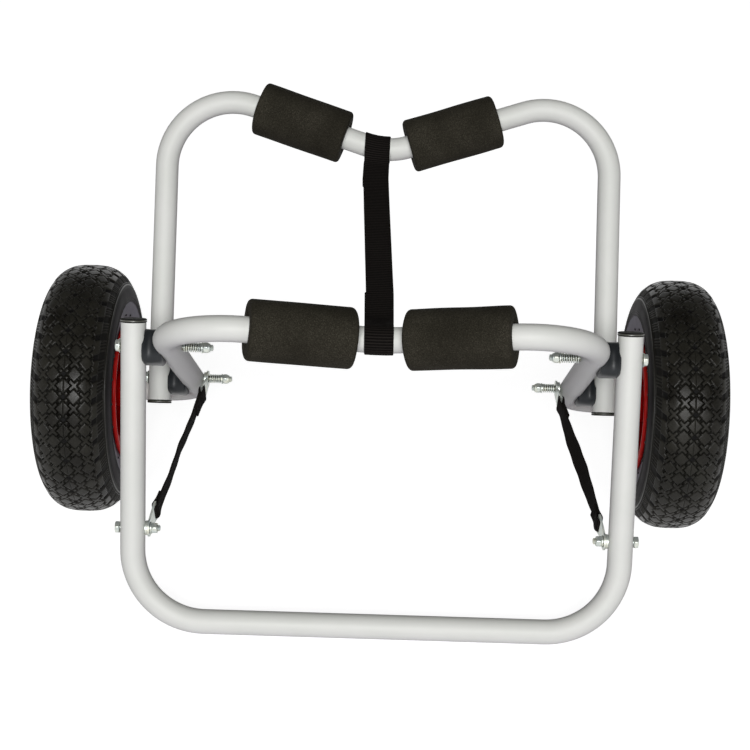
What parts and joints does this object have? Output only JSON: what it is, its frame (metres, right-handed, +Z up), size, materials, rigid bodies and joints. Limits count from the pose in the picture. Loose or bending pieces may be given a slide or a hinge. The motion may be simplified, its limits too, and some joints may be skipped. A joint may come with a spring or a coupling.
{
  "type": "folding kayak cart",
  "caption": "Folding two-wheeled kayak cart with padded vee cradles, a bent tube kickstand, pneumatic tyres on red rims and webbing straps.",
  "frame": {"origin": "on the ground under the middle of the whole cart as it stands open on its wheels and kickstand", "axes": "+X along the wheel axle toward the cart's right wheel as the picture shows it, +Y from the kickstand side back toward the wheels and rear cradle, +Z up from the ground"},
  "size_m": [0.699, 0.3942, 0.432],
  "materials": {
    "aluminium_tube": "satin anodised",
    "zinc_steel": "bright zinc plated",
    "black_plastic": "moulded, slightly glossy",
    "black_foam": "matt closed-cell foam with a fine grain",
    "black_webbing": "matt woven webbing",
    "black_tyre": "matt moulded rubber",
    "grey_rubber": "smooth thin rubber",
    "red_rim": "glossy red"
  },
  "bodies": {
    "main": {"main_frame": "aluminium_tube", "front_pad_left": "black_foam", "front_pad_right": "black_foam", "stand_saddle_left": "black_plastic", "stand_saddle_right": "black_plastic", "cradle_saddle_left": "black_plastic", "cradle_saddle_right": "black_plastic", "stand_bolt_left": "zinc_steel", "stand_bolt_right": "zinc_steel", "cradle_bolt_left": "zinc_steel", "cradle_bolt_right": "zinc_steel", "stand_spring_left": "zinc_steel", "stand_spring_right": "zinc_steel", "cradle_spring_left": "zinc_steel", "cradle_spring_right": "zinc_steel", "stand_washer_left": "zinc_steel", "stand_washer_right": "zinc_steel", "cradle_washer_left": "zinc_steel", "cradle_washer_right": "zinc_steel", "stand_nut_left": "zinc_steel", "stand_nut_right": "zinc_steel", "cradle_nut_left": "zinc_steel", "cradle_nut_right": "zinc_steel", "hinge_tab_left": "zinc_steel", "hinge_tab_right": "zinc_steel", "side_strap_left": "black_webbing", "side_strap_right": "black_webbing", "centre_strap": "black_webbing", "axle_left": "zinc_steel", "axle_right": "zinc_steel", "axle_washer_left": "zinc_steel", "axle_washer_right": "zinc_steel", "axle_nut_left": "zinc_steel", "axle_nut_right": "zinc_steel"},
    "kickstand": {"kickstand": "aluminium_tube", "kickstand_cap_left": "black_plastic", "kickstand_cap_right": "black_plastic", "strap_bolt_left": "zinc_steel", "strap_bolt_right": "zinc_steel", "strap_nut_left": "zinc_steel", "strap_nut_right": "zinc_steel", "strap_tab_left": "zinc_steel", "strap_tab_right": "zinc_steel"},
    "rear_cradle": {"rear_cradle": "aluminium_tube", "cradle_cap_left": "black_plastic", "cradle_cap_right": "black_plastic", "rear_pad_left": "black_foam", "rear_pad_right": "black_foam"},
    "wheel_left": {"tyre_left": "black_tyre", "inner_tube_left": "grey_rubber", "rim_outer_left": "red_rim", "rim_inner_left": "red_rim", "bearing_outer_left": "zinc_steel", "bearing_inner_left": "zinc_steel"},
    "wheel_right": {"tyre_right": "black_tyre", "inner_tube_right": "grey_rubber", "rim_outer_right": "red_rim", "rim_inner_right": "red_rim", "bearing_outer_right": "zinc_steel", "bearing_inner_right": "zinc_steel"}
  },
  "joints": [
    {"name": "kickstand_hinge", "type": "hinge", "parent": "main", "child": "kickstand", "pos_m": [0, -0.10853, 0.2491], "axis": [1, 0, 0], "range_deg": [0, 54], "deforming": ["side_strap_left", "side_strap_right"]},
    {"name": "cradle_hinge", "type": "hinge", "parent": "main", "child": "rear_cradle", "pos_m": [0, 0.01309, 0.16583], "axis": [1, 0, 0], "range_deg": [0, 62], "deforming": ["centre_strap"]},
    {"name": "wheel_left_spin", "type": "hinge", "parent": "main", "child": "wheel_left", "pos_m": [-0.295, 0.07068, 0.12639], "axis": [1, 0, 0], "continuous": true},
    {"name": "wheel_right_spin", "type": "hinge", "parent": "main", "child": "wheel_right", "pos_m": [0.295, 0.07068, 0.12639], "axis": [1, 0, 0], "continuous": true}
  ]
}
